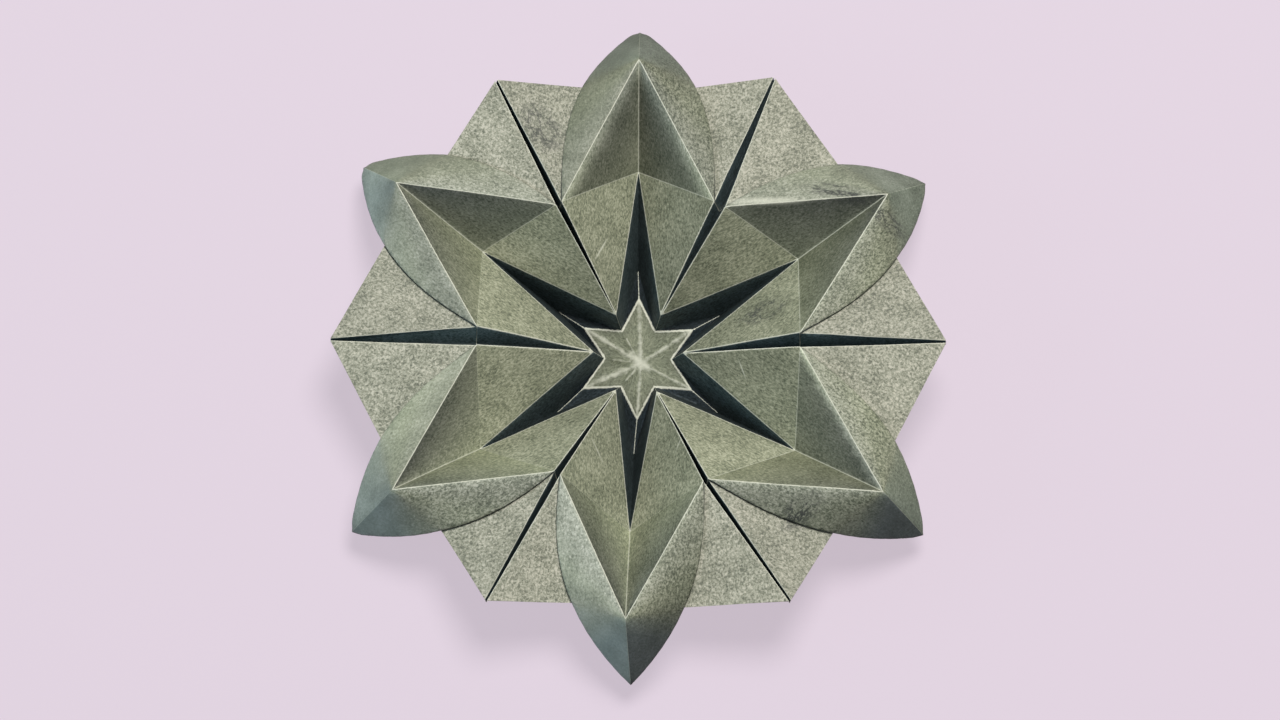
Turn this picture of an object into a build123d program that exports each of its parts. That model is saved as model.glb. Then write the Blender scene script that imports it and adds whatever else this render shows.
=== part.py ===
from build123d import *
import math
import os
import numpy as np

# A six-petalled star folded from one sheet of stiff paper, lying face up.
# The origin is on the table under the middle of the star, with +Z up.
# Petals stand at 30, 90, 150 ... degrees, and pleats run out between them.

# Plan radii of the folds, from the middle of the star
FLAT_TIP_RADIUS = 76.0
PETAL_TIP_RADIUS = 84.5
RIM_TIP_RADIUS = 72.0
SHOULDER_RADIUS = 39.9
SLIT_END_RADIUS = 46.4
SLIT_FOOT_RADIUS = 23.8
KITE_TIP_RADIUS = 11.1
STAR_POINT_RADIUS = 15.4
STAR_NOTCH_RADIUS = 8.3

# Depths below the rims of the petals, which are the highest folds
FLAT_TIP_DROP = 3.4
FLAT_SIDE_DROP = 7.0
PETAL_TIP_DROP = 15.9
SLIT_END_DROP = 12.4
SLIT_FOOT_DROP = 22.5
KITE_TIP_DROP = 12.9
STAR_DROP = 18.9
STAR_DISH = 0.5
PLEAT_DEPTH = 7.0
PLEAT_TIP_DEPTH = 2.2

# The leaf-shaped outer edge of a petal: two handles, along and across its axis
EDGE_NEAR_ALONG = 55.0
EDGE_NEAR_ACROSS = 19.5
EDGE_FAR_ALONG = 70.0
EDGE_FAR_ACROSS = 16.5
EDGE_STEPS = 15
EDGE_STEPS_ON_FLAT = 9
TANGENT_SHARE = 0.01

# The petal's edge is folded under and steps down to the flat beside it
EDGE_STEP = 0.7
EDGE_UNDERCUT = 0.4
UNDERCUT_START = 0.25

# Hand folding: the turn of each petal, pleat and flat tip off its even place, in degrees,
# and the further turn of each petal's outer tip
PETAL_TURN = (2.0, 0.8, -2.8, 3.6, -1.6, -2.2)
PETAL_TIP_TURN = (0.9, -0.2, -1.7, 0.0, 1.3, 0.0)
PLEAT_TURN = (0.4, 0.7, 0.4, 0.0, 0.9, -4.5)
FLAT_TIP_TURN = (1.0, 4.6, -1.5, 0.5, 1.4, 0.3)

# How far the pleats stand open at the shoulders and at the tips of the flats,
# and each pleat's share of the first
PLEAT_GAP = 2.8
PLEAT_TIP_GAP = 0.7
PLEAT_GAP_SHARE = (1.32, 1.14, 0.61, 1.75, 0.64, 0.5)

SHEET_THICKNESS = 0.25
FOLD_SOFTNESS = 0.15

PETALS = 6
PETAL_PITCH = 360.0 / PETALS


def polar(radius, degrees, drop):
    """A point at a plan radius and angle, a depth below the rims."""
    angle = math.radians(degrees)
    return np.array([radius * math.cos(angle), radius * math.sin(angle), -drop])


def beside(point, degrees, offset):
    """The point moved sideways, to the left of a line that runs out at an angle."""
    angle = math.radians(degrees)
    return point + offset * np.array([-math.sin(angle), math.cos(angle), 0.0])


def petal_angle(petal):
    return PETAL_PITCH * (petal + 0.5) + PETAL_TURN[petal]


def petal_tip_angle(petal):
    return petal_angle(petal) + PETAL_TIP_TURN[petal]


def pleat_angle(pleat):
    return PETAL_PITCH * pleat + PLEAT_TURN[pleat]


def axis_points():
    """The folds' corners that lie on the petals' axes and in the pleats."""
    points = {"centre": polar(0.0, 0.0, STAR_DROP + STAR_DISH)}
    for petal in range(PETALS):
        angle = petal_angle(petal)
        even_angle = PETAL_PITCH * (petal + 0.5)
        points["star_point", petal] = polar(STAR_POINT_RADIUS, even_angle, STAR_DROP)
        points["slit_foot", petal] = polar(SLIT_FOOT_RADIUS, angle, SLIT_FOOT_DROP)
        points["slit_end", petal] = polar(SLIT_END_RADIUS, angle, SLIT_END_DROP)
        points["rim_tip", petal] = polar(RIM_TIP_RADIUS, angle, 0.0)
        points["petal_tip", petal] = polar(PETAL_TIP_RADIUS, petal_tip_angle(petal), PETAL_TIP_DROP)
    for pleat in range(PETALS):
        even_angle = PETAL_PITCH * pleat
        tip_angle = even_angle + FLAT_TIP_TURN[pleat]
        tip_bottom = FLAT_TIP_DROP + PLEAT_TIP_DEPTH
        points["star_notch", pleat] = polar(STAR_NOTCH_RADIUS, even_angle, STAR_DROP)
        points["kite_tip", pleat] = polar(KITE_TIP_RADIUS, pleat_angle(pleat), KITE_TIP_DROP)
        points["pleat_bottom", pleat] = polar(SHOULDER_RADIUS, pleat_angle(pleat), PLEAT_DEPTH)
        points["pleat_end", pleat] = polar(FLAT_TIP_RADIUS, tip_angle, tip_bottom)
    return points


def bezier(ends, handles, share):
    """A point on the plan curve between two ends with two handles."""
    rest = 1.0 - share
    near = rest ** 3 * ends[0] + 3.0 * rest ** 2 * share * handles[0]
    return near + 3.0 * rest * share ** 2 * handles[1] + share ** 3 * ends[1]


def plane_height(plane, point):
    """The height of a sloping plane, given by three points, over a point in plan."""
    origin, first, second = plane
    normal = np.cross(first - origin, second - origin)
    run = point - origin
    return origin[2] - (normal[0] * run[0] + normal[1] * run[1]) / normal[2]


def edge_points(points, petal, side):
    """The folded outer edge of half a petal, and the foot of the step under it."""
    angle = petal_angle(petal)
    pleat = (petal + (side > 0)) % PETALS
    half_gap = -side * PLEAT_GAP * PLEAT_GAP_SHARE[pleat] / 2.0
    shoulder = beside(polar(SHOULDER_RADIUS, pleat_angle(pleat), 0.0), pleat_angle(pleat), half_gap)
    tip_angle = PETAL_PITCH * pleat + FLAT_TIP_TURN[pleat]
    tip_half_gap = -side * PLEAT_TIP_GAP / 2.0
    flat_tip = beside(polar(FLAT_TIP_RADIUS, tip_angle, FLAT_TIP_DROP), tip_angle, tip_half_gap)
    near_handle = beside(polar(EDGE_NEAR_ALONG, angle, 0.0), angle, side * EDGE_NEAR_ACROSS)
    far_handle = beside(polar(EDGE_FAR_ALONG, angle, 0.0), angle, side * EDGE_FAR_ACROSS)
    petal_tip = points["petal_tip", petal]
    tip_in_plan = polar(PETAL_TIP_RADIUS, petal_tip_angle(petal), 0.0)
    up = np.array([0.0, 0.0, 1.0])
    last_on_flat = EDGE_STEPS_ON_FLAT / EDGE_STEPS

    def curve(share):
        return bezier((shoulder, tip_in_plan), (near_handle, far_handle), share)

    # The flat slopes from the shoulder to its tip and down towards the petal
    flat = (shoulder - EDGE_STEP * up, flat_tip, curve(last_on_flat) - FLAT_SIDE_DROP * up)
    end_lift = petal_tip[2] - plane_height(flat, petal_tip) - EDGE_STEP
    edge = []
    foot = []
    for step in range(EDGE_STEPS + 1):
        share = step / EDGE_STEPS
        place = curve(share)
        past_flat = max(0.0, share - last_on_flat) / (1.0 - last_on_flat)
        droop = end_lift * past_flat
        place[2] = plane_height(flat, place) + EDGE_STEP + droop
        inward = side * EDGE_UNDERCUT * min(1.0, share / UNDERCUT_START)
        ahead = curve(min(1.0, share + TANGENT_SHARE))
        tangent = ahead - curve(max(0.0, share - TANGENT_SHARE))
        across = np.array([tangent[1], -tangent[0], 0.0]) / np.hypot(tangent[0], tangent[1])
        under = place + inward * across
        under[2] = plane_height(flat, under) + droop
        edge.append(place)
        foot.append(under)
    edge[0] = shoulder
    foot[0] = flat[0]
    edge[-1] = petal_tip
    tip_foot_radius = PETAL_TIP_RADIUS - EDGE_UNDERCUT
    foot[-1] = polar(tip_foot_radius, petal_tip_angle(petal), PETAL_TIP_DROP + EDGE_STEP)
    return edge, foot, flat_tip


def half_petal(points, facets, petal, side):
    """Adds the facets between one petal's axis and the pleat on one side of it."""
    pleat = (petal + (side > 0)) % PETALS
    edge, foot, flat_tip = edge_points(points, petal, side)
    for step in range(EDGE_STEPS):
        points["edge", petal, side, step] = edge[step]
        points["foot", petal, side, step] = foot[step]
    points["flat_tip", petal, side] = flat_tip
    points["tip_foot", petal] = foot[-1]
    edge_names = [("edge", petal, side, step) for step in range(EDGE_STEPS)]
    edge_names.append(("petal_tip", petal))
    foot_names = [("foot", petal, side, step) for step in range(EDGE_STEPS)]
    foot_names.append(("tip_foot", petal))

    shoulder = edge_names[0]
    star_point = ("star_point", petal)
    slit_foot = ("slit_foot", petal)
    slit_end = ("slit_end", petal)
    rim_tip = ("rim_tip", petal)
    notch = ("star_notch", pleat)
    kite_tip = ("kite_tip", pleat)
    bottom = ("pleat_bottom", pleat)
    pleat_end = ("pleat_end", pleat)
    tip = ("flat_tip", petal, side)

    half = [
        ("centre", star_point, notch),
        (star_point, slit_foot, notch),
        (slit_foot, kite_tip, notch),
        (slit_foot, slit_end, kite_tip),
        (kite_tip, slit_end, shoulder),
        (slit_end, rim_tip, shoulder),
        (kite_tip, shoulder, bottom),
        (shoulder, foot_names[0], bottom),
        (foot_names[0], pleat_end, bottom),
        (foot_names[0], tip, pleat_end),
    ]
    for step in range(EDGE_STEPS):
        half.append((rim_tip, edge_names[step + 1], edge_names[step]))
        half.append((edge_names[step], edge_names[step + 1], foot_names[step + 1]))
        half.append((edge_names[step], foot_names[step + 1], foot_names[step]))
    for step in range(EDGE_STEPS_ON_FLAT):
        half.append((foot_names[step], foot_names[step + 1], tip))
    facets.extend(facet if side > 0 else facet[::-1] for facet in half)


def corner_shifts(points, facets):
    """For each corner, the move that lifts every facet round it by one unit."""
    normals = {name: [] for name in points}
    for facet in facets:
        first, second, third = (points[name] for name in facet)
        normal = np.cross(second - first, third - first)
        normal /= np.linalg.norm(normal)
        for name in facet:
            normals[name].append(normal)
    shifts = {}
    for name, found in normals.items():
        rows = np.array(found)
        soft = FOLD_SOFTNESS * len(found) / 3.0 * np.eye(3)
        shifts[name] = np.linalg.solve(rows.T @ rows + soft, rows.sum(axis=0))
    return shifts


def sheet_faces(points, facets):
    """The closed skin of the sheet: its front, its back and its cut edge."""
    shifts = corner_shifts(points, facets)
    half = SHEET_THICKNESS / 2.0
    front = {name: points[name] + half * shifts[name] for name in points}
    back = {name: points[name] - half * shifts[name] for name in points}
    corners = []
    sides = {}
    for facet in facets:
        corners.append([front[name] for name in facet])
        corners.append([back[name] for name in reversed(facet)])
        sides.update(dict.fromkeys(zip(facet, facet[1:] + facet[:1])))
    for start, end in sides:
        if (end, start) not in sides:
            corners.append([front[end], front[start], back[start]])
            corners.append([front[end], back[start], back[end]])
    return [Face(Wire.make_polygon([Vector(*corner) for corner in triangle], close=True))
            for triangle in corners]


def folded_star():
    points = axis_points()
    facets = []
    for petal in range(PETALS):
        for side in (1, -1):
            half_petal(points, facets, petal, side)
    sheet = Solid(Shell(sheet_faces(points, facets)))
    return Pos(0, 0, -sheet.bounding_box().min.Z) * sheet


os.makedirs("parts", exist_ok=True)
export_step(folded_star(), "parts/folded_star.step")
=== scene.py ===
import math

import bmesh
import bpy
import numpy as np
from bpy.props import FloatProperty, FloatVectorProperty, PointerProperty
from mathutils import Matrix, Vector
from mathutils.geometry import delaunay_2d_cdt


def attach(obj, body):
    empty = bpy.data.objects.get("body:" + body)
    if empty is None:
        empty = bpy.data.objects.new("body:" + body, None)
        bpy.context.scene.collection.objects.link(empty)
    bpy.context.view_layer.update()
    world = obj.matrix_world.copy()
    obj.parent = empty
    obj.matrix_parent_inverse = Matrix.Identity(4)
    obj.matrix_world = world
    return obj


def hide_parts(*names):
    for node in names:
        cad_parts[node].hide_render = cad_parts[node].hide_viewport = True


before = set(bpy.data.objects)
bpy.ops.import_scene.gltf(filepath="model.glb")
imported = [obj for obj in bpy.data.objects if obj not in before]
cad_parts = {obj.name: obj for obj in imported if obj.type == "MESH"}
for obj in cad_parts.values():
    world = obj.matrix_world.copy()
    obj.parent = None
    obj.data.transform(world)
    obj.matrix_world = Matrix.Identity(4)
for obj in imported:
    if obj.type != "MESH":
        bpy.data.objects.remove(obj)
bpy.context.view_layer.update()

bl_info = {
    "name": "Folded paper star",
    "version": (1, 0, 0),
    "blender": (4, 5, 0),
    "location": "3D View > Sidebar > Paper Star",
    "description": "Dresses the folded star's solid as a sheet of mottled paper with worn folds",
    "category": "Object",
}

NODE = "folded_star"
MM = 0.001

FRONT, BACK, CUT = 1, 2, 3

# The sheet's cut edge has sides shorter than the first, in millimetres, and lies beyond the second in plan
CUT_SIDE = 0.6
CUT_RADIUS = 55.0

# A sharper bend than the first is a fold, unless it runs out from a rim's tip and is softer than the second.
# Shading breaks at bends sharper than the third
FOLD_ANGLE = math.radians(13.0)
SOFT_BEND = math.radians(38.0)
SHARP_ANGLE = math.radians(62.0)

# The petals' directions, how far a folded rim may be off them, and the half sector of a point, in degrees
FIRST_PETAL = 30.0
PETAL_PITCH = 60.0
TURN_SLACK = 8.0
TIP_SECTOR = 10.0

# Plan radii that tell the corners of the facets apart, in millimetres
CORNER_RADII = {
    "kite_tip": (10.0, 12.5), "star_point": (14.0, 17.0), "shoulder": (38.0, 42.0),
    "slit_end": (45.0, 48.0), "rim_tip": (70.0, 74.0), "petal_tip": (83.5, 87.0),
}
RIM_TIP_RADII = (68.0, 74.0)

# The farthest reach of the star's walls, the slits' sides and the kites' valleys in plan, in millimetres,
# and the upward part of the normal below which a patch is steep
STAR_WALL_REACH = 26.0
SLIT_REACH = 78.0
KITE_REACH = 60.0
STEEP = 0.62

# The rims' height, the least height of a rim's tip and the least rise of a petal's valley, in millimetres
RIM_HEIGHT = 22.8
RIM_TIP_HEIGHT = 20.0
VALLEY_RISE = 8.0

# Widths in millimetres of the painted shadow lines at a petal's edge and in the flats' folds, and of the pale
# lines along a petal's outer ridge and in its valleys
EDGE_SHADE = 0.34
FLAT_SHADE = 0.7
RIDGE_LINE = 0.1
AXIS_VALLEY = 0.5
KITE_VALLEY = 0.32
SMOOTH_VALLEY = 0.1

# Painted shade by slope: levels of red, green and blue at each upward part of a facet's normal, darker where
# steeper
SHADE_SLOPES = (0.0, 0.33, 0.5, 0.7, 0.85, 0.97)
SHADE_LEVELS = (
    (0.12, 0.23, 0.39, 0.58, 0.84, 1.0),
    (0.15, 0.28, 0.47, 0.60, 0.86, 1.0),
    (0.17, 0.30, 0.48, 0.55, 0.78, 1.0),
)

# Each kind of facet's level, mostly painted light and shade: a base, then how it changes with the normal's x
# and y, across and along the facet, with its steepness, and across it towards x and towards y
FACET_SHADES = {
    "star": (-0.6, 0.0, 0.0, 0.0, 0.0, 0.0, 0.0, 0.0),
    "star_wall": (-2.1, 0.2, -0.4, 0.0, 0.0, 0.0, 0.0, 0.0),
    "slit": (0.2, 0.0, -0.7, 0.0, 0.0, 0.0, 0.0, 0.0),
    "edge": (0.1, 0.0, 0.0, 0.0, 0.0, 0.0, 0.0, 0.0),
    "flat": (-0.05, 0.0, -0.45, 0.0, 0.0, 0.0, 0.0, 0.0),
    "kite": (0.1, 0.05, -0.2, -0.05, -0.25, 0.0, 0.15, 0.3),
    "inner": (0.05, -0.1, 0.3, 0.35, -0.75, 0.0, 0.5, -0.3),
    "wall": (-0.4, -0.1, 0.0, -0.05, -0.2, 1.55, -0.2, 0.0),
}

# Each kind of facet's tint, which is a painted cool shade on the star's walls, the slits' sides and the
# petals' walls, how coarse its mottle is, and the mottle's contrast
SHADE_TINTS_AND_MOTTLE = {
    "star": ((0.96, 1.02, 0.92), 0.0, 0.5),
    "star_wall": ((0.76, 1.0, 1.65), 0.0, 0.6),
    "slit": ((0.9, 1.0, 1.28), 0.0, 0.6),
    "edge": ((1.0, 1.0, 1.06), 0.5, 0.8),
    "flat": ((1.01, 0.99, 1.04), 1.0, 0.95),
    "kite": ((1.0, 1.0, 1.02), 0.25, 0.7),
    "inner": ((1.0, 1.0, 1.0), 0.15, 0.55),
    "wall": ((0.98, 1.0, 1.09), 0.8, 1.0),
}

# How much painted shade darkens a slit's side towards the floor, how much darker the star is at its border,
# with the reach of that in millimetres, and how much a painted highlight pales a rolled rim
SLIT_PAINTED_SHADE = 1.1
BORDER_DARKENING = 0.3
BORDER_REACH = 1.6
ROLL_HIGHLIGHT = 1.1

# The share by which places are drawn in along a petal, which makes the fibres longer that way
FIBRE_SHARE = 0.55

# Painted light and shade that differ between the hand-folded petals, by a petal's turn and a side of it:
# its kite, then its inner facet and its wall, each of those two with its change across
PETAL_SHADES = {
    (30, 1): (-0.1, -0.2, 0.1, 0.0, 0.0), (30, -1): (-0.1, -0.2, 0.0, -0.1, 0.3),
    (90, 1): (-0.1, -0.3, -0.2, -0.2, -0.3), (90, -1): (-0.2, -0.4, 0.1, -0.3, 0.1),
    (150, 1): (0.0, 0.0, -0.2, -0.2, 0.4), (150, -1): (0.1, 0.0, 0.1, 0.1, -0.2),
    (210, 1): (0.0, 0.1, 0.0, -0.2, 0.3), (210, -1): (0.0, -0.1, 0.3, 0.0, 0.2),
    (270, 1): (0.0, -0.2, 0.6, 0.0, -0.3), (270, -1): (-0.1, -0.3, 0.4, 0.2, 0.0),
    (330, 1): (-0.1, -0.1, 0.1, 0.0, 0.2), (330, -1): (0.0, 0.0, -0.2, -0.3, 0.0),
}

# Sides of the petals whose kite runs smoothly into the inner facet, told in the same way
SMOOTH = ((150, 1), (210, 1), (210, -1), (270, 1), (270, -1))

# How far the petals' points are rubbed back, from 30 degrees on, and the reach of the rubbing, in millimetres
TIP_WEAR = (0.45, 0.9, 0.9, 0.6, 0.1, 0.45)
TIP_REACH = 1.3

# Rims that are rolled over softly: the petal's turn and the rim's side of it, in degrees,
# and the width of the painted highlight along the roll in millimetres. All are lowered over the reach
ROLLED = ((90.0, 30.0, 2.8), (90.0, -30.0, 2.8), (-30.0, 30.0, 1.2))
ROLL_REACH = 3.0

# Slow ripples of the sheet: the length in millimetres, the direction in degrees and the phase.
# They grow to their full height over the first rise from the floor, in millimetres
RIPPLES = ((31.0, 20.0, 0.4), (23.0, 95.0, 2.1), (17.0, 150.0, 4.0), (13.0, 60.0, 1.2), (39.0, 120.0, 5.1))
RIPPLE_RISE = 6.0

# Old creases of the middle star, in millimetres: their widths to the star's points from 30 degrees on,
# to its notches and in its middle, and where they meet
CREASE_WIDTH = (1.3, 1.5, 1.4, 1.9, 1.1, 0.9)
NOTCH_CREASE = 0.6
MIDDLE_CREASE = 2.6
CREASE_MEETING = (0.7, -1.1, 0.05)

# The wide crease in the star's middle, from where the others meet
MIDDLE_RUN = ((-2.4, 2.2, 0.0), (1.6, -1.2, 0.0))

# The star's points lie beyond the first radius, and its notches beyond the second, in millimetres
STAR_POINT_RADIUS = 12.0
STAR_NOTCH_RADIUS = 6.0

# How wide an old crease's ridge is, and how far from the star's border it is full, in millimetres
CREASE_REACH = 0.75
STAR_BORDER = 1.2

# How often the folds' crests are smoothed, and by what share each time
WEAR_PASSES = 3
WEAR_SHARE = 0.4

# Dark smudges: the middle in plan, the half length and half width in millimetres, the turn and the strength
SMUDGES = (
    (-25.0, 54.5, 10.0, 6.0, -55.0, 0.8),
    (49.5, 38.5, 13.0, 3.2, -12.0, 0.95),
    (61.0, 32.0, 7.5, 3.4, -30.0, 0.85),
    (40.5, -43.0, 8.0, 4.5, 40.0, 1.0),
    (31.0, 10.0, 9.0, 4.0, 25.0, 0.9),
)

# Pale marks, told in the same way: short creases on the kites, a rubbed rim and the star's worn middle
PALE_MARKS = (
    (-9.5, 25.2, 4.6, 0.32, 64.0, 0.6),
    (-9.6, -27.0, 5.0, 0.28, -63.0, 0.4),
    (25.8, -5.2, 3.6, 0.25, -67.0, 0.55),
    (10.5, -25.0, 3.5, 0.25, -110.0, 0.35),
    (31.0, 35.9, 14.0, 1.5, 2.0, 0.55),
    (0.5, -0.9, 3.4, 2.0, -35.0, 0.45),
)

# The stage's places and sizes in metres, the key lamp's share to the side, and the colours of the light
FLOOR_HALF = 3.0
LAMP_SIZE = 0.8
LAMP_TARGET = (0.0, 0.0, 0.01)
KEY_REACH = 1.6
KEY_SIDE = 0.14
KEY_COLOR = (1.0, 0.99, 0.955)
FILL_PLACE = (-1.4, -0.2, 0.5)
FILL_COLOR = (0.6, 0.86, 1.0)
SKY_COLOR = (0.93, 0.97, 1.0)


class PaperStarSheet(bpy.types.PropertyGroup):
    grid_step: FloatProperty(
        name="Grid step", description="Longest edge of the sheet's mesh",
        default=1.8 * MM, unit="LENGTH", precision=5)
    row_step: FloatProperty(
        name="Row step", description="Longest edge of the sheet's mesh along a fold",
        default=0.9 * MM, unit="LENGTH", precision=5)
    star_step: FloatProperty(
        name="Star step", description="Longest edge of the mesh in the middle star",
        default=0.4 * MM, unit="LENGTH", precision=5)
    fold_step: FloatProperty(
        name="Fold step", description="Distance of the first row of the mesh from a fold",
        default=0.28 * MM, unit="LENGTH", precision=5)
    fold_round: FloatProperty(
        name="Fold rounding", description="Farthest that a fold's crest is worn down",
        default=0.12 * MM, unit="LENGTH", precision=5)
    crease_height: FloatProperty(
        name="Crease height", description="Height of the old creases in the middle star",
        default=0.32 * MM, unit="LENGTH", precision=5)
    roll_depth: FloatProperty(
        name="Roll depth", description="How far the crest of a softly rolled rim is lowered",
        default=0.35 * MM, unit="LENGTH", precision=5)
    tip_wear: FloatProperty(
        name="Tip wear", description="How much the petals' points are rubbed back",
        default=1.0, subtype="FACTOR", min=0.0, max=1.5)
    wave_height: FloatProperty(
        name="Wave height", description="Height of the slow waves in the sheet",
        default=0.22 * MM, unit="LENGTH", precision=5)
    paper_dark: FloatVectorProperty(
        name="Dark fibres", description="Colour of the paper's dark mottle",
        default=(0.165, 0.178, 0.13), subtype="COLOR")
    paper_middle: FloatVectorProperty(
        name="Paper", description="Middle colour of the paper",
        default=(0.375, 0.385, 0.285), subtype="COLOR")
    paper_light: FloatVectorProperty(
        name="Pale fibres", description="Colour of the paper's pale mottle",
        default=(0.64, 0.63, 0.50), subtype="COLOR")
    # The worn folds' colour is also the painted highlight on the mountain folds' rounded crests
    fold_color: FloatVectorProperty(
        name="Worn and highlit folds", description="Colour of the paper where a fold has rubbed it",
        default=(0.80, 0.80, 0.67), subtype="COLOR")
    smudge_color: FloatVectorProperty(
        name="Smudges", description="Colour of the dark smudges",
        default=(0.06, 0.065, 0.06), subtype="COLOR")
    mottle_size: FloatProperty(
        name="Mottle size", description="Size of the paper's mottle",
        default=0.62 * MM, unit="LENGTH", precision=5)


class PaperStarStage(bpy.types.PropertyGroup):
    floor_color: FloatVectorProperty(
        name="Floor", description="Colour of the floor and the backdrop",
        default=(0.775, 0.672, 0.768), subtype="COLOR")
    key_power: FloatProperty(
        name="Key lamp", description="Power of the soft lamp behind the star",
        default=25.0, unit="POWER")
    key_height: FloatProperty(
        name="Key height", description="Angle of the soft lamp above the floor",
        default=math.radians(67.0), subtype="ANGLE")
    fill_power: FloatProperty(
        name="Fill lamp", description="Power of the cool lamp at the left",
        default=5.0, unit="POWER")
    sky: FloatProperty(
        name="Sky", description="Level of the light from all round",
        default=0.12, subtype="FACTOR", min=0.0, max=1.0)
    camera_distance: FloatProperty(
        name="Camera distance", description="From the star to the camera",
        default=5.0, unit="LENGTH")
    camera_height: FloatProperty(
        name="Camera height", description="Angle of the camera above the floor",
        default=math.radians(74.0), subtype="ANGLE")
    camera_roll: FloatProperty(
        name="Camera roll", description="Turn of the camera about its own view",
        default=math.radians(0.95), subtype="ANGLE")
    frame_width: FloatProperty(
        name="Frame width", description="Width that the picture takes in at the rims",
        default=315.8 * MM, unit="LENGTH", precision=4)
    aim: FloatVectorProperty(
        name="Aim", description="Point at the middle of the picture",
        default=(0.5 * MM, -5.65 * MM, 22.7 * MM), subtype="TRANSLATION", precision=5)


# The solid's folds and facets

def welded_solid(node):
    """The CAD solid's triangles with their shared corners joined."""
    bm = bmesh.new()
    bm.from_mesh(node.data)
    bm.transform(node.matrix_world)
    bmesh.ops.remove_doubles(bm, verts=bm.verts, dist=0.001 * MM)
    bm.normal_update()
    if any(not edge.is_manifold for edge in bm.edges):
        raise RuntimeError("the star's solid isn't closed")
    return bm


def plan_radius(face):
    """How far a face's middle lies from the star's axis."""
    return face.calc_center_median().xy.length


def mark_sides(bm):
    """Marks each face as the sheet's front, its back or its cut edge."""
    side = bm.faces.layers.int.new("side")
    for face in bm.faces:
        thin = min(edge.calc_length() for edge in face.edges) < CUT_SIDE * MM
        outer = plan_radius(face) > CUT_RADIUS * MM
        face[side] = CUT if thin and outer else BACK
    middle = min((f for f in bm.faces if f[side] == BACK and f.normal.z > 0.5), key=plan_radius)
    todo = [middle]
    middle[side] = FRONT
    while todo:
        for edge in todo.pop().edges:
            for face in edge.link_faces:
                if face[side] == BACK:
                    face[side] = FRONT
                    todo.append(face)
    marks = [face[side] for face in bm.faces]
    if marks.count(FRONT) != marks.count(BACK):
        raise RuntimeError("the sheet's front and back don't match")
    return side


def near_rim_tip(spot):
    """Whether a point lies about as far out as the tip of a rim."""
    low, high = RIM_TIP_RADII
    return low < spot.xy.length / MM < high


def is_crease(edge):
    """Whether an edge is a fold, and not a soft bend that runs out from a rim's tip."""
    angle = edge.calc_face_angle_signed(0.0)
    from_rim_tip = any(near_rim_tip(vert.co) for vert in edge.verts)
    return abs(angle) > FOLD_ANGLE and not (from_rim_tip and 0.0 < angle < SOFT_BEND)


def is_front_fold(edge, side):
    """Whether an edge is a fold on the sheet's front."""
    return all(face[side] == FRONT for face in edge.link_faces) and is_crease(edge)


def mark_patches(bm, side):
    """Numbers the smooth patches between folds, and lists each patch's fold lines."""
    patch = bm.faces.layers.int.new("patch")
    folds = []
    for face in bm.faces:
        face[patch] = -1
    for first in bm.faces:
        if first[patch] >= 0:
            continue
        count = len(folds)
        lines = []
        first[patch] = count
        todo = [first]
        while todo:
            face = todo.pop()
            for edge in face.edges:
                other = next(f for f in edge.link_faces if f is not face)
                if other[side] != face[side] or is_crease(edge):
                    start, end = (vert.co.copy() for vert in edge.verts)
                    lines.append((start, end, edge.calc_face_angle_signed(0.0), other[side]))
                elif other[patch] < 0:
                    other[patch] = count
                    todo.append(other)
        folds.append(lines)
    return patch, folds


def facet_kinds(bm, side, patch, star_patch):
    """What each patch of the sheet's front is, told by its slope and the plan radii of its corners."""
    upward = {}
    radii = {}
    for face in bm.faces:
        if face[side] == FRONT:
            upward.setdefault(face[patch], []).append(face.normal.z)
            radii.setdefault(face[patch], []).extend(vert.co.xy.length / MM for vert in face.verts)
    kinds = {}
    for number, found in radii.items():
        has = {name for name, (low, high) in CORNER_RADII.items()
               if any(low < radius < high for radius in found)}
        if number == star_patch:
            kinds[number] = "star"
        elif "star_point" in has and max(found) < STAR_WALL_REACH:
            kinds[number] = "star_wall"
        elif max(upward[number]) < STEEP:
            kinds[number] = "slit" if max(found) < SLIT_REACH else "edge"
        elif "rim_tip" in has:
            kinds[number] = "wall" if "petal_tip" in has else "inner"
        else:
            kinds[number] = "kite" if "kite_tip" in has else "flat"
    return kinds


def corner_of(lines, name):
    """The corner of a patch at a named radius."""
    low, high = CORNER_RADII[name]
    for start, end, _, _ in lines:
        for spot in (start, end):
            if low < spot.xy.length / MM < high:
                return np.array(spot)
    raise RuntimeError("a patch has no " + name)


def direction(spot):
    """The direction of a point in plan from the star's axis, in degrees."""
    return math.degrees(math.atan2(spot[1], spot[0]))


def nearest_petal(degrees):
    """The turn of the petal nearest to a direction, in degrees."""
    return np.round((degrees - FIRST_PETAL) / PETAL_PITCH) * PETAL_PITCH + FIRST_PETAL


def half_turn(degrees):
    """The same angle from -180 to 180 degrees."""
    return (degrees + 180.0) % 360.0 - 180.0


def petal_side(lines):
    """The turn of a facet's petal in degrees, and the side of it that the facet is on."""
    shoulder = corner_of(lines, "shoulder")
    spots = np.array([spot for line in lines for spot in line[:2]])
    turn = nearest_petal(direction(spots.mean(axis=0)))
    side = half_turn(direction(shoulder) - turn)
    return int(turn) % 360, 1 if side > 0.0 else -1


def rolled_rim(lines):
    """The ends of an inner facet's rim and the width of its painted highlight in millimetres, if it is rolled
    over softly.
    """
    tip, shoulder = corner_of(lines, "rim_tip"), corner_of(lines, "shoulder")
    turn = direction(tip)
    side = half_turn(direction(shoulder) - turn)
    for at, to, width in ROLLED:
        if abs(turn - at) < TURN_SLACK and side * to > 0.0:
            return tip, shoulder, width
    return None


# The fine mesh

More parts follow.
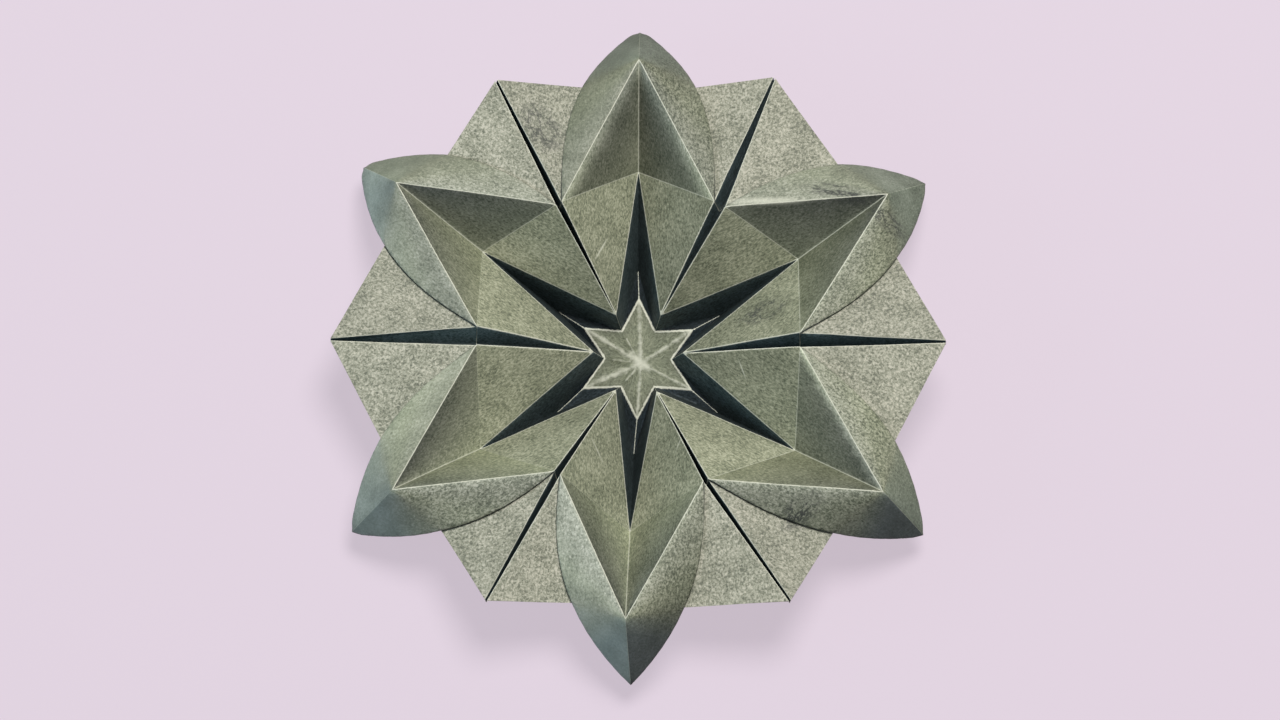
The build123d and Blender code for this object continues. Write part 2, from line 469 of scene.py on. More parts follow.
def inner_points(corners, folded, step, row_step, rows):
    """Points inside a flat triangle: a grid, and rows beside its folded sides, in millimetres."""
    ends = np.roll(corners, -1, axis=0)
    runs = ends - corners
    lengths = np.linalg.norm(runs, axis=1)
    runs = runs / lengths[:, None]
    inward = np.stack([-runs[:, 1], runs[:, 0]], axis=1)

    def depths(found):
        return ((found[:, None, :] - corners[None]) * inward[None]).sum(-1)

    low = corners.min(axis=0)
    high = corners.max(axis=0)
    across = np.arange(low[0], high[0], step)
    upward = np.arange(low[1], high[1], step * 0.866)
    grid = [(x + step * 0.5 * (j % 2), y) for j, y in enumerate(upward) for x in across]
    grid = np.array(grid).reshape(-1, 2)
    margin = np.where(folded, rows[-1] + 0.5 * step, 0.5 * step)
    kept = [grid[(depths(grid) > margin).all(axis=1)]]
    for number in range(3):
        if not folded[number]:
            continue
        count = max(1, round(lengths[number] / row_step))
        along = (np.arange(count) + 0.5) * lengths[number] / count
        for offset in rows:
            row = corners[number] + along[:, None] * runs[number] + offset * inward[number]
            margin = np.where(folded, 0.9 * offset, 0.25)
            kept.append(row[(depths(row) > margin).all(axis=1)])
    return np.concatenate(kept)


def fine_mesh(bm, side, patch, star_patch, settings):
    """The sheet's fine triangles, their patches, and the points that rounding a fold may move."""
    step = settings.grid_step / MM
    row_step = settings.row_step / MM
    star_step = settings.star_step / MM
    rows = [settings.fold_step / MM * share for share in (1.0, 2.2)]
    bm.verts.index_update()
    points = [vert.co / MM for vert in bm.verts]
    along = {}
    folds = set()
    soft = set()
    fixed = set()
    for edge in bm.edges:
        if is_front_fold(edge, side):
            folds.add(edge)
        in_star = all(face[patch] == star_patch for face in edge.link_faces)
        spacing = row_step if edge in folds else star_step if in_star else step
        count = max(1, round(edge.calc_length() / MM / spacing))
        ends = [vert.co / MM for vert in edge.verts]
        first = len(points)
        points.extend(ends[0].lerp(ends[1], i / count) for i in range(1, count))
        along[edge] = [edge.verts[0].index, *range(first, len(points)), edge.verts[1].index]
        if edge in folds:
            soft.update(along[edge])
        elif any(face[side] != FRONT for face in edge.link_faces):
            fixed.update(along[edge])
    triangles = []
    patches = []
    for face in bm.faces:
        outline = []
        for loop in face.loops:
            line = along[loop.edge]
            outline.extend(line[:-1] if line[0] == loop.vert.index else line[:0:-1])
        origin = points[face.loops[0].vert.index]
        first_axis = (points[face.loops[1].vert.index] - origin).normalized()
        second_axis = face.normal.cross(first_axis)

        def flattened(index):
            run = points[index] - origin
            return run.dot(first_axis), run.dot(second_axis)

        corners = np.array([flattened(loop.vert.index) for loop in face.loops])
        folded = np.array([loop.edge in folds for loop in face.loops])
        fill_step = star_step if face[patch] == star_patch else step
        inner = inner_points(corners, folded, fill_step, row_step, rows)
        flat = [Vector(flattened(index)) for index in outline]
        flat.extend(Vector(place) for place in inner)
        first = len(points)
        points.extend(origin + first_axis * float(x) + second_axis * float(y) for x, y in inner)
        names = outline + list(range(first, len(points)))
        found = delaunay_2d_cdt(flat, [], [list(range(len(outline)))], 1, 1e-5)
        for triangle in found[2]:
            triangles.append([names[found[3][vert][0]] for vert in triangle])
            patches.append(face[patch])
    places = np.array([tuple(point) for point in points]) * MM
    return places, np.array(triangles), np.array(patches), np.array(sorted(soft - fixed))


def segment_distance(points, starts, ends):
    """Distance from each point to each segment."""
    run = ends - starts
    offset = points[:, None, :] - starts[None]
    share = (offset * run).sum(-1) / (run * run).sum(-1)
    share = np.clip(share, 0.0, 1.0)
    return np.linalg.norm(offset - share[..., None] * run, axis=-1)


def nearest_line(points, lines):
    """Distance from each point to the nearest of some lines."""
    starts = np.array([line[0] for line in lines])
    ends = np.array([line[1] for line in lines])
    return segment_distance(points, starts, ends).min(axis=1)


def patch_normals(place, triangles, patches):
    """Smooth normals at each face corner, shared only inside a patch."""
    sides = place[triangles]
    normals = np.cross(sides[:, 1] - sides[:, 0], sides[:, 2] - sides[:, 0])
    keys = triangles.ravel().astype(np.int64) * (patches.max() + 1) + np.repeat(patches, 3)
    _, index = np.unique(keys, return_inverse=True)
    total = np.zeros((index.max() + 1, 3))
    np.add.at(total, index, np.repeat(normals, 3, axis=0))
    total /= np.linalg.norm(total, axis=1, keepdims=True)
    return total[index]


# Wear and softness of the sheet

def worn_folds(place, edges, rounded, limit):
    """The points with the crests of the folds worn down, no farther than a limit."""
    soft = place.copy()
    links = np.bincount(edges.ravel(), minlength=len(place))
    for _ in range(WEAR_PASSES):
        total = np.zeros_like(soft)
        np.add.at(total, edges[:, 0], soft[edges[:, 1]])
        np.add.at(total, edges[:, 1], soft[edges[:, 0]])
        soft[rounded] += WEAR_SHARE * (total[rounded] / links[rounded, None] - soft[rounded])
    shift = soft - place
    length = np.linalg.norm(shift, axis=1, keepdims=True)
    return place + shift * np.minimum(1.0, limit / np.maximum(length, 1e-12))


def raise_creases(place, star, creases, border, height):
    """Raises the old creases of the middle star, away from its border."""
    ridge = np.exp(-(nearest_line(place[star], creases) / (CREASE_REACH * MM)) ** 2)
    inside = np.clip(nearest_line(place[star], border) / (STAR_BORDER * MM), 0.0, 1.0)
    place[star, 2] += height * ridge * inside


def roll_rims(place, kinds, folds, depth):
    """Lowers the crest of each softly rolled rim."""
    for number, kind in kinds.items():
        rim = rolled_rim(folds[number]) if kind == "inner" else None
        if rim:
            gap = nearest_line(place, [rim])
            place[:, 2] -= depth * np.maximum(0.0, 1.0 - gap / (ROLL_REACH * MM)) ** 2


def blunt_tips(place, share):
    """Draws in the points of the petals, which are rubbed blunt."""
    radius = np.hypot(place[:, 0], place[:, 1])
    for petal, depth in enumerate(TIP_WEAR):
        turn = np.arctan2(place[:, 1], place[:, 0]) - math.radians(FIRST_PETAL + PETAL_PITCH * petal)
        mine = np.abs((turn + math.pi) % (2.0 * math.pi) - math.pi) < math.radians(TIP_SECTOR)
        tip = place[np.nonzero(mine)[0][radius[mine].argmax()]].copy()
        out = tip[:2] / np.hypot(*tip[:2])
        gap = np.maximum(0.0, (tip[:2] - place[mine, :2]) @ out)
        place[mine, :2] -= out * (share * depth * MM * np.exp(-(gap / (TIP_REACH * MM)) ** 2))[:, None]


def add_waves(place, height):
    """Adds slow waves to the sheet, from a few crossing ripples, but none where it rests on the floor."""
    total = np.zeros(len(place))
    for length, degrees, phase in RIPPLES:
        angle = math.radians(degrees)
        along = place[:, :2] @ np.array([math.cos(angle), math.sin(angle)])
        total += np.sin(along * 2.0 * math.pi / (length * MM) + phase) * length / RIPPLES[0][0]
    above = np.clip(place[:, 2] / (RIPPLE_RISE * MM), 0.0, 1.0)
    place[:, 2] += above * height * total / len(RIPPLES) ** 0.5


# Lines of the paper, and its painted light and shade

def fold_width(start, end):
    """How wide a mountain fold's pale line is, told by the plan radii of its ends, in millimetres."""
    near, far = sorted((start.xy.length / MM, end.xy.length / MM))
    if far < 13.0:
        return 0.15
    if far < 17.0:
        return 0.85
    if near < 13.0:
        return 0.42 if far > 43.0 else 0.62
    if near < 20.0:
        return 0.3
    if RIM_TIP_RADII[0] < far < RIM_TIP_RADII[1] and near < 43.0:
        return 0.36
    if near < 43.0 and far > 74.0:
        return 0.4
    return 0.13


def valley_width(lines, far):
    """How wide the pale line of a petal's valley is, told by its far end's plan radius, in millimetres."""
    if far > KITE_REACH:
        return AXIS_VALLEY
    return SMOOTH_VALLEY if petal_side(lines) in SMOOTH else KITE_VALLEY


def fold_lines(folds, patch_side, kinds):
    """Each patch's pale mountain folds, pale valleys and dark shade lines, with their widths."""
    mountain = {}
    valley = {}
    contact_shadow = {}
    for number, lines in enumerate(folds):
        kind = kinds.get(number)
        for start, end, angle, other in lines:
            if other != patch_side[number]:
                continue
            near, far = sorted((start.xy.length / MM, end.xy.length / MM))
            at_rim_tip = any(near_rim_tip(spot) and spot.z > RIM_TIP_HEIGHT * MM for spot in (start, end))
            if kind == "wall" and angle > 0.0 and not at_rim_tip:
                found, width = contact_shadow, EDGE_SHADE
            elif angle > 0.0 and far > CORNER_RADII["petal_tip"][0]:
                found, width = valley, RIDGE_LINE
            elif angle > 0.0:
                found, width = mountain, fold_width(start, end)
            elif near > CORNER_RADII["shoulder"][0] and abs(start.z - end.z) > VALLEY_RISE * MM:
                found, width = valley, valley_width(lines, far)
            elif kind == "flat":
                found, width = contact_shadow, FLAT_SHADE
            else:
                continue
            found.setdefault(number, []).append((start, end, width))
    return mountain, valley, contact_shadow


def star_creases(faces):
    """Creases left by the first folding, which meet a little off the star's middle, with their widths."""
    corners = {vert for face in faces for vert in face.verts}
    middle = min(corners, key=lambda vert: vert.co.xy.length)
    meeting = middle.co + Vector(CREASE_MEETING) * MM
    lines = []
    for vert in corners:
        if vert.co.xy.length > STAR_POINT_RADIUS * MM:
            petal = round((direction(vert.co) - FIRST_PETAL) / PETAL_PITCH) % 6
            lines.append((meeting, vert.co.copy(), CREASE_WIDTH[petal]))
        elif vert.co.xy.length > STAR_NOTCH_RADIUS * MM and vert.co.x < 0.0:
            lines.append((meeting.lerp(vert.co, 0.3), meeting.lerp(vert.co, 0.75), NOTCH_CREASE))
    start, end = (meeting + Vector(run) * MM for run in MIDDLE_RUN)
    lines.append((start, end, MIDDLE_CREASE))
    return lines


def line_distances(corners, patches, lines):
    """The distance of each face corner to its patch's lines, in half line widths."""
    values = np.full(len(corners), 9.0)
    for number, found in lines.items():
        chosen = np.nonzero(patches == number)[0]
        if not len(chosen):
            continue
        starts = np.array([line[0] for line in found])
        ends = np.array([line[1] for line in found])
        halves = np.array([line[2] for line in found]) * 0.5 * MM
        distance = segment_distance(corners[chosen], starts, ends) / halves
        values[chosen] = np.minimum(9.0, distance.min(axis=1))
    return values


def facet_measures(place, lines, kind):
    """Two measures over a facet: across it from its first edge, and along it."""
    def gap(first, second):
        return segment_distance(place, first[None], second[None])[:, 0]

    if kind == "wall":
        tip, shoulder, end = (corner_of(lines, name) for name in ("rim_tip", "shoulder", "petal_tip"))
        reach = 12.0 * MM
        out = (end - tip)[:2] / np.hypot(*(end - tip)[:2])
        beyond = np.clip(((place - tip)[:, :2] @ out) / reach, -1.0, 1.0)
        return np.clip(gap(tip, shoulder) / reach, 0.0, 1.0), beyond
    if kind == "inner":
        tip, shoulder, end = (corner_of(lines, name) for name in ("rim_tip", "shoulder", "slit_end"))
        near, far = gap(tip, shoulder), gap(tip, end)
    elif kind == "kite":
        tip, shoulder, end = (corner_of(lines, name) for name in ("kite_tip", "shoulder", "slit_end"))
        near, far = gap(tip, end), gap(tip, shoulder)
    else:
        return np.zeros(len(place)), np.zeros(len(place))
    length = np.linalg.norm(tip - shoulder)
    along = np.clip(((place - shoulder) @ (tip - shoulder)) / length ** 2, 0.0, 1.0)
    return (near / np.maximum(near + far, 1e-9)) ** 0.8, along


def wall_shading(normals, across, along):
    """The painted light and shade of a petal's wall: its level, its red and blue, which paint a cool shade
    beyond the rim's tip, and the contrast of its mottle.
    """
    x, y, z = normals.T
    beyond = np.clip(0.3 + 2.5 * along, 0.0, 1.0) * np.clip(-2.0 * y, 0.0, 1.0)
    right = np.clip(3.0 * x, 0.0, 1.0) * beyond
    warm = np.clip(y, 0.0, 0.4) * np.clip(-3.0 * x, 0.0, 1.0)
    level = 0.4 * np.clip(-3.0 * y, 0.0, 1.0) * np.exp(-(across / 0.16) ** 2) - 0.35 * right
    red = np.exp(-0.06 * beyond)
    blue = np.exp(0.1 * beyond + 0.12 * right - 0.1 * x - 0.3 * warm)
    contrast = np.clip(1.05 + 1.1 * x - 0.8 * np.maximum(0.0, y), 0.5, 1.15)
    contrast *= np.interp(z, (0.45, 0.85), (0.35, 1.0)) * (1.0 - 0.4 * beyond)
    return level, red, blue, contrast


def inner_shading(place, normals, lines, across, along):
    """The painted light and shade of a petal's inner facet: its level, with a painted highlight along a
    rolled rim, and its blue.
    """
    rim = rolled_rim(lines)
    level = 0.0
    if rim:
        # A painted highlight along the rolled rim
        level = ROLL_HIGHLIGHT * np.exp(-(nearest_line(place, [rim]) / (rim[2] * MM)) ** 2)
    blue = np.exp(0.03 - 0.14 * across + 0.17 * along - 0.09 * normals[:, 1])
    return level, blue


def facet_shade_and_tint(place, normals, patches, kinds, folds):
    """The painted light and shade of each face corner, with the paper's tint, the contrast of its mottle, and
    how coarse that mottle is.
    """
    shade_and_tint = np.ones((len(place), 4))
    coarse = np.ones(len(place))
    for number, kind in kinds.items():
        chosen = np.nonzero(patches == number)[0]
        spots = place[chosen]
        normal = normals[chosen]
        lines = folds[number]
        across, along = facet_measures(spots, lines, kind)
        x, y, z = normal.T
        ones = np.ones(len(chosen))
        terms = np.stack([ones, x, y, across, along, 1.0 - z, across * x, across * y], axis=1)
        # Painted light and shade by the kind of facet, its facing and its steepness
        level = terms @ np.array(FACET_SHADES[kind])
        # The tint is a painted cool shade on the steep walls and in the slits
        tint, coarse[chosen], contrast = SHADE_TINTS_AND_MOTTLE[kind]
        tint = np.array(tint) * ones[:, None]
        if kind in ("kite", "inner", "wall"):
            # Painted light and shade that differ from petal to petal
            kite, inner, inner_across, wall, wall_across = PETAL_SHADES[petal_side(lines)]
        if kind == "slit":
            # Painted shade, darker down a slit's side towards the floor
            level -= SLIT_PAINTED_SHADE * np.clip(1.0 - spots[:, 2] / (RIM_HEIGHT * MM), 0.0, 1.0)
        elif kind == "star":
            gap = nearest_line(spots, [line for line in lines if line[2] > 0.0])
            level -= BORDER_DARKENING * np.exp(-(gap / (BORDER_REACH * MM)) ** 2)
        elif kind == "kite":
            level += kite
        elif kind == "wall":
            # The wall's painted light and shade, with a painted cool shade beyond the rim's tip
            change, red, blue, contrast = wall_shading(normal, across, along)
            level += wall + wall_across * across + change
            tint *= np.stack([red, ones, blue], axis=1)
        elif kind == "inner":
            change, blue = inner_shading(spots, normal, lines, across, along)
            level += inner + inner_across * across + change
            tint[:, 2] *= blue
        # Painted shade by slope, darker where steeper
        slope = np.stack([np.interp(z, SHADE_SLOPES, levels) for levels in SHADE_LEVELS], axis=1)
        shade_and_tint[chosen, :3] = slope * np.exp(level)[:, None] * tint
        shade_and_tint[chosen, 3] = contrast
    return shade_and_tint, coarse


def fibre_places(place, patches, kinds):
    """Coordinates that are drawn out along each petal, for the run of the fibres."""
    middles = np.zeros((patches.max() + 1, 2))
    counts = np.bincount(patches, minlength=len(middles))
    np.add.at(middles, patches, place[:, :2])
    middles /= np.maximum(counts, 1)[:, None]
    middle = middles[patches]
    in_star = np.array([kinds.get(number) == "star" for number in range(len(middles))])[patches]
    middle[in_star] = place[in_star, :2]
    turn = np.radians(nearest_petal(np.degrees(np.arctan2(middle[:, 1], middle[:, 0]))))
    along = place[:, 0] * np.cos(turn) + place[:, 1] * np.sin(turn)
    across = place[:, 1] * np.cos(turn) - place[:, 0] * np.sin(turn)
    return np.stack([along * FIBRE_SHARE, across, place[:, 2]], axis=1)


def store(mesh, name, kind, values):
    """Stores values at the mesh's face corners as a named attribute."""
    key = {"FLOAT": "value", "FLOAT_COLOR": "color", "FLOAT_VECTOR": "vector"}[kind]
    made = mesh.attributes.new(name, kind, "CORNER")
    made.data.foreach_set(key, values.ravel().astype(np.float32))


class PAPERSTAR_OT_sheet(bpy.types.Operator):
    """Makes the folded sheet over the star's solid, with rounded folds and slow waves"""
    bl_idname = "paper_star.sheet"
    bl_label = "Folded sheet"

    def execute(self, context):
        settings = context.scene.paper_star_sheet
        bm = welded_solid(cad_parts[NODE])
        side = mark_sides(bm)
        patch, folds = mark_patches(bm, side)
        patch_side = {face[patch]: face[side] for face in bm.faces}
        star_patch = min((face for face in bm.faces if face[side] == FRONT), key=plan_radius)[patch]
        creases = star_creases([face for face in bm.faces if face[patch] == star_patch])
        kinds = facet_kinds(bm, side, patch, star_patch)
        place, triangles, patches, rounded = fine_mesh(bm, side, patch, star_patch, settings)
        bm.free()

        mesh = bpy.data.meshes.new("paper_star")
        mesh.from_pydata(place, [], triangles)
        edges = np.empty(len(mesh.edges) * 2, dtype=np.int32)
        mesh.edges.foreach_get("vertices", edges)
        edges = edges.reshape(-1, 2)

        corner_place = place[triangles.ravel()]
        corner_patch = np.repeat(patches, 3)
        mountain, valley, contact_shadow = fold_lines(folds, patch_side, kinds)
        for name, lines in (("mountain", mountain), ("valley", valley), ("contact_shadow", contact_shadow),
                            ("old_crease", {star_patch: creases})):
            store(mesh, name, "FLOAT", line_distances(corner_place, corner_patch, lines))
        normals = patch_normals(place, triangles, patches)
        shade_and_tint, coarse = facet_shade_and_tint(corner_place, normals, corner_patch, kinds, folds)
        store(mesh, "shade_and_tint", "FLOAT_COLOR", shade_and_tint)
        store(mesh, "coarse", "FLOAT", coarse)
        store(mesh, "fibre", "FLOAT_VECTOR", fibre_places(corner_place, corner_patch, kinds))

        place = worn_folds(place, edges, rounded, settings.fold_round)
        star = np.unique(triangles[patches == star_patch])
        raise_creases(place, star, creases, folds[star_patch], settings.crease_height)
        roll_rims(place, kinds, folds, settings.roll_depth)
        blunt_tips(place, settings.tip_wear)
        add_waves(place, settings.wave_height)
        mesh.vertices.foreach_set("co", place.ravel())
        mesh.polygons.foreach_set("use_smooth", np.ones(len(mesh.polygons), dtype=bool))
        mesh.update()
        mesh.set_sharp_from_angle(angle=SHARP_ANGLE)

        sheet = bpy.data.objects.new("paper_star", mesh)
        context.scene.collection.objects.link(sheet)
        mesh.materials.append(paper_material(settings))
        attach(sheet, "root")
        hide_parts(NODE)
        return {"FINISHED"}


# The materials

def connect(tree, value, socket):
    """Links a socket to another node's output, or sets its value."""
    if isinstance(value, bpy.types.NodeSocket):
        tree.links.new(value, socket)
    else:
        socket.default_value = value


def node(tree, kind, **inputs):
    """A new node with its named input sockets set or linked."""
    made = tree.nodes.new(kind)
    for name, value in inputs.items():
        connect(tree, value, made.inputs[name.replace("_", " ")])
    return made


def new_material(name):
    """A new material and its empty node tree."""
    material = bpy.data.materials.new(name)
    material.use_nodes = True
    material.node_tree.nodes.clear()
    return material, material.node_tree


def maths(tree, operation, *values):
    """The result of a sum on numbers."""
    made = tree.nodes.new("ShaderNodeMath")
    made.operation = operation
    for socket, value in zip(made.inputs, values):
        connect(tree, value, socket)
    return made.outputs[0]


def centred(tree, value, gain):
    """How far a noise lies from its middle, times a gain."""
    return maths(tree, "MULTIPLY", maths(tree, "SUBTRACT", value, 0.5), gain)


def blend(tree, share, first, second, kind="MIX"):
    """A colour between two others, or their product."""
    made = tree.nodes.new("ShaderNodeMix")
    made.data_type = "RGBA"
    made.blend_type = kind
    for socket, value in ((0, share), (6, first), (7, second)):
        connect(tree, value, made.inputs[socket])
    return made.outputs[2]


def mix_value(tree, share, first, second):
    """A number between two others."""
    made = tree.nodes.new("ShaderNodeMix")
    for socket, value in ((0, share), (2, first), (3, second)):
        connect(tree, value, made.inputs[socket])
    return made.outputs[0]


def color_ramp(tree, value, stops):
    """Colours for a value, from pairs of a place and a colour."""
    made = tree.nodes.new("ShaderNodeValToRGB")
    tree.links.new(value, made.inputs[0])
    elements = made.color_ramp.elements
    while len(elements) < len(stops):
        elements.new(1.0)
    for element, (place, color) in zip(elements, stops):
        element.position = place
        element.color = (*color, 1.0)
    return made.outputs[0]


def fade(tree, value, full, gone):
    """One up to a first value, and nought from a second on."""
    made = node(tree, "ShaderNodeMapRange", Value=value, From_Min=full, From_Max=gone, To_Min=1.0, To_Max=0.0)
    made.interpolation_type = "SMOOTHSTEP"
    return made.outputs[0]


def noise(tree, place, size, detail, roughness, distortion):
    """A noise of a size in metres."""
    made = node(tree, "ShaderNodeTexNoise", Vector=place, Scale=1.0 / size, Detail=detail,
                Roughness=roughness, Distortion=distortion)
    return made.outputs["Fac"]


def attribute(tree, name):
    """The node that reads one of the mesh's attributes."""
    made = tree.nodes.new("ShaderNodeAttribute")
    made.attribute_name = name
    return made


def local_place(tree, place, mark):
    """Places in an oval mark's own frame, where its outline lies at one."""
    x, y, length, width, turn, _ = mark
    made = node(tree, "ShaderNodeMapping", Vector=place, Location=(x * MM, y * MM, 0.0),
                Rotation=(0.0, 0.0, math.radians(turn)), Scale=(length * MM, width * MM, 1.0))
    made.vector_type = "TEXTURE"
    return made.outputs[0]


def soft_oval(tree, local, full, strength):
    """A soft oval in plan, full out to a share of its reach."""
    reach = tree.nodes.new("ShaderNodeVectorMath")
    reach.operation = "LENGTH"
    tree.links.new(local, reach.inputs[0])
    return maths(tree, "MULTIPLY", fade(tree, reach.outputs["Value"], full, 1.0), strength)


def veins(tree, local, seed):
    """Thin ragged lines drawn out along a mark, on a faint ground."""
    made = node(tree, "ShaderNodeTexNoise", Vector=local, Scale=1.7, Detail=6.0, Roughness=0.68)
    made.noise_dimensions = "4D"
    made.inputs["W"].default_value = seed
    line = fade(tree, maths(tree, "ABSOLUTE", maths(tree, "SUBTRACT", made.outputs["Fac"], 0.5)), 0.008, 0.05)
    return maths(tree, "ADD", maths(tree, "MULTIPLY", line, 0.8), 0.2)


def mottle(tree, place, grain, fine, shade_and_tint, size):
    """The paper's mottle about a half, from its grain, its fibres and slow clouds."""
    cloud = noise(tree, place, size * 11.0, 2.0, 0.5, 0.0)
    value = maths(tree, "ADD", maths(tree, "MULTIPLY", grain, 0.62), maths(tree, "MULTIPLY", fine, 0.38))
    value = mix_value(tree, attribute(tree, "coarse").outputs["Fac"], fine, value)
    value = maths(tree, "ADD", centred(tree, value, shade_and_tint.outputs["Alpha"]), 0.5)
    return maths(tree, "ADD", value, centred(tree, cloud, 0.16))


def smudged(tree, place, color, dark):
    """The colour under the painted shadow beside the petals' edges and in the flats' folds, and under the
    smudges.
    """
    # A painted shadow beside the petals' edges and in the flats' folds
    shade = fade(tree, attribute(tree, "contact_shadow").outputs["Fac"], 0.1, 1.0)
    color = blend(tree, maths(tree, "MULTIPLY", shade, 0.6), color, dark)
    for number, mark in enumerate(SMUDGES):
        local = local_place(tree, place, mark)
        oval = soft_oval(tree, local, 0.3, mark[-1])
        mask = maths(tree, "MULTIPLY", oval, veins(tree, local, 2.3 * number))
        color = blend(tree, mask, color, dark)
    return color


def worn(tree, place, grain, color, pale):
    """The colour under the pale lines of the folds, which are worn paper with a painted highlight on their
    crests, of the valleys and old creases, and under the pale marks.
    """
    def line(name, *ragged):
        value = attribute(tree, name).outputs["Fac"]
        for change in ragged:
            value = maths(tree, "ADD", value, change)
        return value

    rub = centred(tree, noise(tree, place, 2.2 * MM, 3.0, 0.6, 0.0), 0.9)
    fleck = centred(tree, grain, 1.3)
    rough = centred(tree, noise(tree, place, 1.5 * MM, 3.0, 0.55, 0.6), 2.4)
    # The mountain folds' pale lines are worn paper and a painted highlight on their rounded crests
    for value, full, gone, strength in (
            (line("mountain", rub, fleck), 0.25, 1.05, 0.88),
            (line("valley", rub), 0.1, 1.0, 0.42),
            (line("old_crease", rub, rough), -0.4, 1.25, 0.6)):
        color = blend(tree, maths(tree, "MULTIPLY", fade(tree, value, full, gone), strength), color, pale)
    for mark in PALE_MARKS:
        oval = soft_oval(tree, local_place(tree, place, mark), 0.1, mark[-1])
        color = blend(tree, oval, color, pale)
    return color


def paper_material(settings):
    """Mottled stiff paper with painted light and shade, and pale worn folds with a painted highlight."""
    material, tree = new_material("mottled_paper")
    place = tree.nodes.new("ShaderNodeTexCoord").outputs["Object"]
    size = settings.mottle_size
    shade_and_tint = attribute(tree, "shade_and_tint")
    grain = noise(tree, place, size, 3.0, 0.62, 0.7)
    fine = noise(tree, attribute(tree, "fibre").outputs["Vector"], size * 0.7, 3.0, 0.6, 0.6)
    value = mottle(tree, place, grain, fine, shade_and_tint, size)
    color = color_ramp(tree, value, (
        (0.39, settings.paper_dark), (0.5, settings.paper_middle), (0.61, settings.paper_light)))
    # The painted light and shade multiply the paper's colour
    color = blend(tree, 1.0, color, shade_and_tint.outputs["Color"], "MULTIPLY")
    color = smudged(tree, place, color, (*settings.smudge_color, 1.0))
    color = worn(tree, place, grain, color, (*settings.fold_color, 1.0))
    bump = node(tree, "ShaderNodeBump", Strength=0.35, Distance=0.06 * MM, Height=value)
    shader = node(tree, "ShaderNodeBsdfPrincipled", Base_Color=color, Normal=bump.outputs[0])
    shader.inputs["Roughness"].default_value = 0.6
    shader.inputs["Specular IOR Level"].default_value = 0.25
    node(tree, "ShaderNodeOutputMaterial", Surface=shader.outputs[0])
    return material


def mix_shader(tree, share, first, second):
    """A shader between two others."""
    made = tree.nodes.new("ShaderNodeMixShader")
    for socket, value in zip(made.inputs, (share, first, second)):
        tree.links.new(value, socket)
    return made.outputs[0]


def floor_material(settings):
    """A plain floor whose tone is even to the camera, and which keeps a soft shadow."""
    material, tree = new_material("stage_floor")
    color = (*settings.floor_color, 1.0)
    matt = node(tree, "ShaderNodeBsdfDiffuse", Color=color)
    even = node(tree, "ShaderNodeEmission", Color=color, Strength=1.0)
    path = tree.nodes.new("ShaderNodeLightPath")
    share = maths(tree, "MULTIPLY", path.outputs["Is Camera Ray"], 0.72)
    mixed = mix_shader(tree, share, matt.outputs[0], even.outputs[0])
    node(tree, "ShaderNodeOutputMaterial", Surface=mixed)
    return material


# The stage

def add_floor(scene, settings):
    """A wide plain floor at the star's lowest folds."""
    mesh = bpy.data.meshes.new("stage_floor")
    corners = [(x * FLOOR_HALF, y * FLOOR_HALF, 0.0) for x, y in ((-1, -1), (1, -1), (1, 1), (-1, 1))]
    mesh.from_pydata(corners, [], [(0, 1, 2, 3)])
    mesh.materials.append(floor_material(settings))
    floor = bpy.data.objects.new("stage_floor", mesh)
    scene.collection.objects.link(floor)


def add_lamp(scene, name, power, color, place):
    """A soft round lamp that shines on the star."""
    data = bpy.data.lights.new(name, "AREA")
    data.energy = power
    data.shape = "DISK"
    data.size = LAMP_SIZE
    data.color = color
    made = bpy.data.objects.new(name, data)
    made.location = place
    made.rotation_euler = (Vector(LAMP_TARGET) - place).to_track_quat("-Z", "Y").to_euler()
    made.visible_camera = False
    scene.collection.objects.link(made)


def add_world(scene, settings):
    """A dim even sky, which the camera sees in the floor's colour."""
    world = bpy.data.worlds.new("stage_world")
    scene.world = world
    world.use_nodes = True
    tree = world.node_tree
    tree.nodes.clear()
    sky = node(tree, "ShaderNodeBackground", Color=(*SKY_COLOR, 1.0), Strength=settings.sky)
    shown = node(tree, "ShaderNodeBackground", Color=(*settings.floor_color, 1.0), Strength=1.0)
    path = tree.nodes.new("ShaderNodeLightPath")
    mixed = mix_shader(tree, path.outputs["Is Camera Ray"], sky.outputs[0], shown.outputs[0])
    node(tree, "ShaderNodeOutputWorld", Surface=mixed)


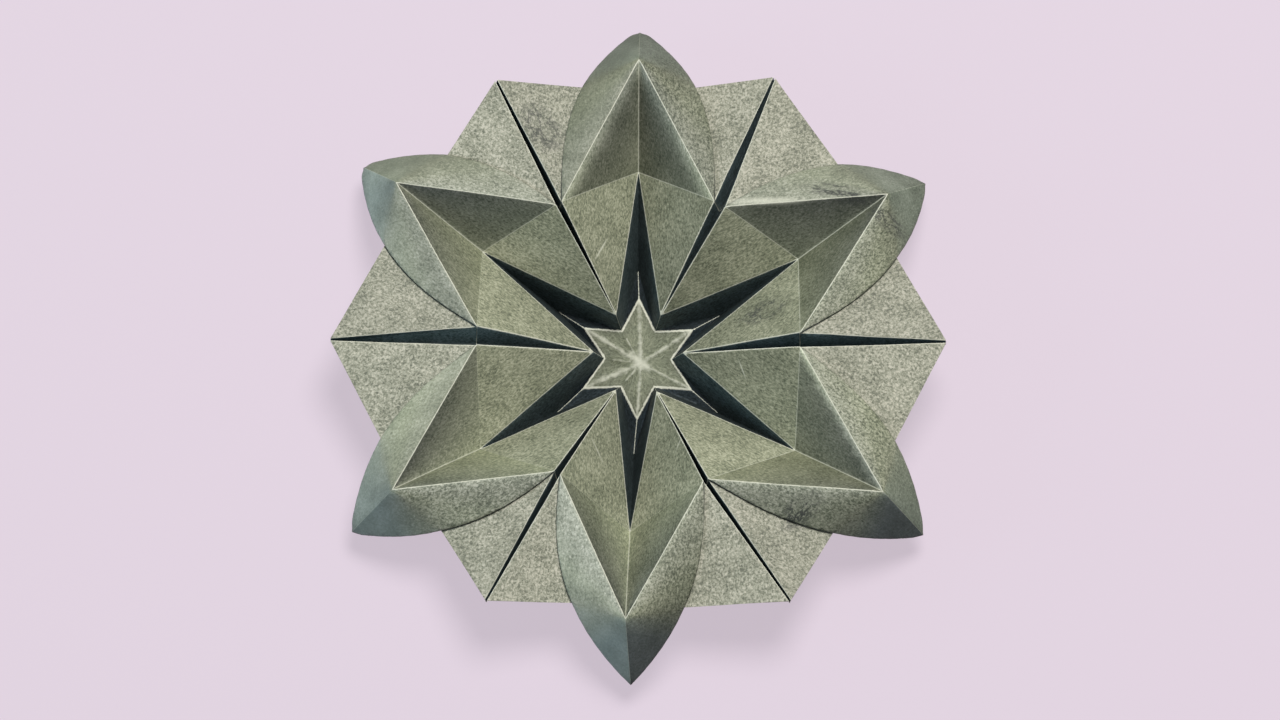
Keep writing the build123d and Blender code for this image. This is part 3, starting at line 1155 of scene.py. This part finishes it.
def add_camera(scene, settings):
    """A far camera that looks down on the star."""
    data = bpy.data.cameras.new("camera")
    data.sensor_width = 36.0
    data.lens = data.sensor_width * settings.camera_distance / settings.frame_width
    data.clip_start = 0.05
    data.clip_end = 20.0
    camera = bpy.data.objects.new("camera", data)
    scene.collection.objects.link(camera)
    rise = settings.camera_height
    back = Vector((0.0, -math.cos(rise), math.sin(rise)))
    turn = (-back).to_track_quat("-Z", "Y").to_matrix() @ Matrix.Rotation(settings.camera_roll, 3, "Z")
    place = Vector(settings.aim) + back * settings.camera_distance
    camera.matrix_world = Matrix.Translation(place) @ turn.to_4x4()
    scene.camera = camera


class PAPERSTAR_OT_stage(bpy.types.Operator):
    """Makes the floor, the soft lamps, the world and the camera"""
    bl_idname = "paper_star.stage"
    bl_label = "Stage"

    def execute(self, context):
        settings = context.scene.paper_star_stage
        scene = context.scene
        add_floor(scene, settings)
        rise = settings.key_height
        key_place = Vector(LAMP_TARGET) + KEY_REACH * Vector((KEY_SIDE, math.cos(rise), math.sin(rise)))
        add_lamp(scene, "key_lamp", settings.key_power, KEY_COLOR, key_place)
        add_lamp(scene, "fill_lamp", settings.fill_power, FILL_COLOR, Vector(FILL_PLACE))
        add_world(scene, settings)
        add_camera(scene, settings)
        scene.view_settings.view_transform = "Standard"
        return {"FINISHED"}


class PAPERSTAR_PT_panel(bpy.types.Panel):
    """Lists the star's pieces and their settings"""
    bl_idname = "PAPERSTAR_PT_panel"
    bl_label = "Paper Star"
    bl_space_type = "VIEW_3D"
    bl_region_type = "UI"
    bl_category = "Paper Star"

    def draw(self, context):
        for settings, operator in ((context.scene.paper_star_sheet, PAPERSTAR_OT_sheet),
                                   (context.scene.paper_star_stage, PAPERSTAR_OT_stage)):
            box = self.layout.box()
            box.operator(operator.bl_idname)
            for name in settings.__annotations__:
                box.prop(settings, name)


CLASSES = (PaperStarSheet, PaperStarStage, PAPERSTAR_OT_sheet, PAPERSTAR_OT_stage, PAPERSTAR_PT_panel)


def register():
    for made in CLASSES:
        bpy.utils.register_class(made)
    bpy.types.Scene.paper_star_sheet = PointerProperty(type=PaperStarSheet)
    bpy.types.Scene.paper_star_stage = PointerProperty(type=PaperStarStage)


def unregister():
    del bpy.types.Scene.paper_star_stage
    del bpy.types.Scene.paper_star_sheet
    for made in reversed(CLASSES):
        bpy.utils.unregister_class(made)


def main():
    register()
    bpy.ops.paper_star.sheet()
    bpy.ops.paper_star.stage()


if __name__ == "__main__":
    main()
